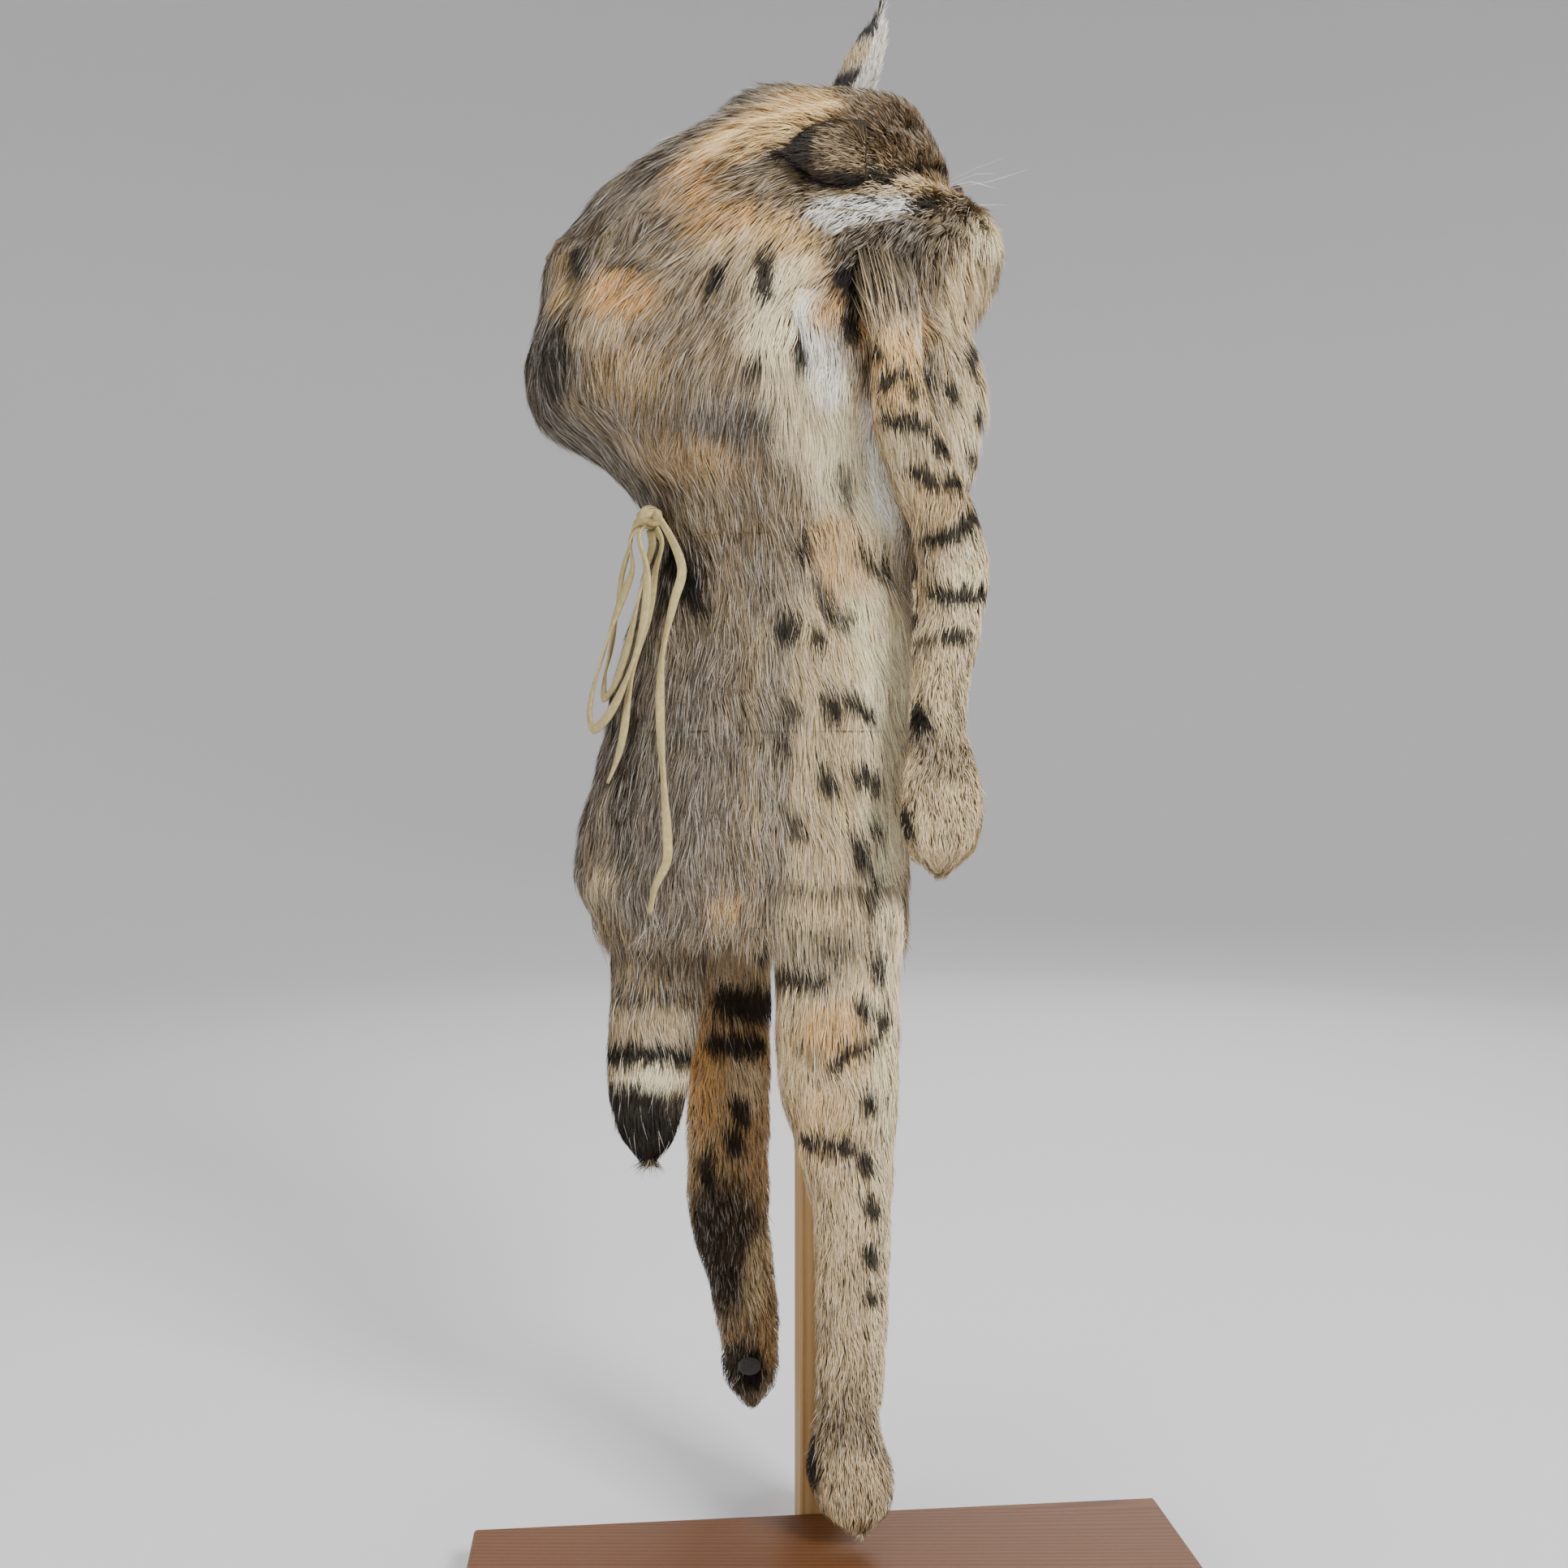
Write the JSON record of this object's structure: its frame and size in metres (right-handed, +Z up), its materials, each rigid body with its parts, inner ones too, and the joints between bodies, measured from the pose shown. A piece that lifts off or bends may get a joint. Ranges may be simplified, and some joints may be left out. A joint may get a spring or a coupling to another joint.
{
  "type": "fur hat on a wooden stand",
  "caption": "Hat made of a whole spotted cat pelt, with hood, hanging cape, legs, tail and ears, tied by a lace at the nape and standing on a plain wooden post with a board base.",
  "frame": {"origin": "middle of the post's foot, on the floor", "axes": "+Z up the post; +X the way the cat's face and the wearer's face look; -Y towards the near side, where the lace's long end hangs and the board lies"},
  "size_m": [0.4941, 0.5804, 1.056],
  "materials": {
    "grizzled_fur": "matte",
    "pale_fur": "matte",
    "dark_fur": "matte",
    "nose_leather": "satin",
    "pad_leather": "matte",
    "buckskin": "matte",
    "pine": "matte",
    "stained_board": "satin"
  },
  "bodies": {
    "root": {"hood_head": "grizzled_fur", "hood_neck": "grizzled_fur", "cape_back": "grizzled_fur", "cape_rump": "grizzled_fur", "hind_leg_near": "pale_fur", "hind_leg_far": "pale_fur", "fore_leg_near": "pale_fur", "fore_leg_far": "pale_fur", "tail": "pale_fur", "ear_far": "dark_fur", "ear_near": "dark_fur", "nose": "nose_leather", "hind_pad_near": "pad_leather", "hind_pad_far": "pad_leather", "fore_pad_near": "pad_leather", "fore_pad_far": "pad_leather", "lace_knot": "buckskin", "lace_loop_front": "buckskin", "lace_loop_back": "buckskin", "lace_end_short": "buckskin", "lace_end_long": "buckskin", "hat_block": "pine", "post": "pine", "board": "stained_board"}
  },
  "joints": []
}
